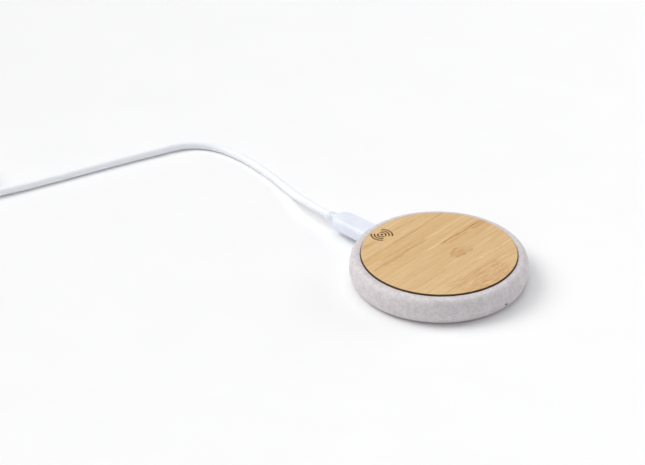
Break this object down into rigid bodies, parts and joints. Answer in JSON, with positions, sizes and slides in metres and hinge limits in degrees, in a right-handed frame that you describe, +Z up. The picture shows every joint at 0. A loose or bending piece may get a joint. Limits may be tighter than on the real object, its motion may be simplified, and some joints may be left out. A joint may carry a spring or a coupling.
{
  "type": "wireless charging pad",
  "caption": "Round wireless charging pad with a bamboo face in a straw-plastic casing, charging coil and board inside, and a pull-out USB cable with its spare length wound up.",
  "frame": {"origin": "on the surface the pad stands on, under the middle of the casing", "axes": "+Z up out of the charging face, +Y out of the USB socket, X along the bamboo's grain"},
  "size_m": [0.178, 0.3404, 0.0145],
  "materials": {
    "straw_plastic": "fine satin grain, warm grey-white plastic filled with straw fibre and speckled with it",
    "bamboo": "laminated bamboo, sanded, with a scorched edge from cutting",
    "adhesive": "thin double-sided tape",
    "copper_litz": "enamelled copper litz wire",
    "ferrite": "dark sintered ferrite",
    "board_green": "glass-epoxy board with green solder mask",
    "chip_black": "moulded chip package",
    "capacitor_tan": "ceramic capacitor body",
    "led_white": "small light-emitting chip in a pale case",
    "light_guide": "smoky clear plastic rod, dark when the light is off",
    "steel": "plated steel",
    "connector_black": "black connector plastic with gold contacts",
    "silicone": "soft grey silicone",
    "plug_white": "satin white moulded plug grip",
    "cord_white": "smooth white cable jacket",
    "tie_white": "pale hook-and-loop strap"
  },
  "bodies": {
    "pad": {"top_shell": "straw_plastic", "bottom_cover": "straw_plastic", "bamboo_disc": "bamboo", "disc_adhesive": "adhesive", "charging_coil": "copper_litz", "ferrite_sheet": "ferrite", "ferrite_tape": "adhesive", "temperature_sensor": "chip_black", "coil_lead_1": "copper_litz", "coil_lead_2": "copper_litz", "circuit_board": "board_green", "light_guide": "light_guide", "control_chip": "chip_black", "bridge_chip": "chip_black", "input_inductor": "ferrite", "input_capacitor": "capacitor_tan", "sense_resistor": "chip_black", "status_led": "led_white", "resonant_capacitor_1": "capacitor_tan", "resonant_capacitor_2": "capacitor_tan", "resonant_capacitor_3": "capacitor_tan", "resonant_capacitor_4": "capacitor_tan", "board_screw_1": "steel", "board_screw_2": "steel", "board_screw_3": "steel", "usb_socket_shell": "steel", "usb_socket_tongue": "connector_black", "cover_screw_1": "steel", "cover_screw_2": "steel", "cover_screw_3": "steel", "cover_screw_4": "steel", "foot_1": "silicone", "foot_2": "silicone", "foot_3": "silicone", "foot_4": "silicone"},
    "cable": {"plug_shell": "steel", "plug_insert": "connector_black", "plug_grip": "plug_white", "cord": "cord_white", "cord_coil": "cord_white", "cord_tail": "cord_white", "cord_tie": "tie_white", "usb_a_shell": "steel", "usb_a_tongue": "plug_white", "usb_a_grip": "plug_white"}
  },
  "joints": [
    {"name": "plug_pull", "type": "slide", "parent": "pad", "child": "cable", "axis": [0, 1, 0], "range_m": [0, 0.01]}
  ]
}
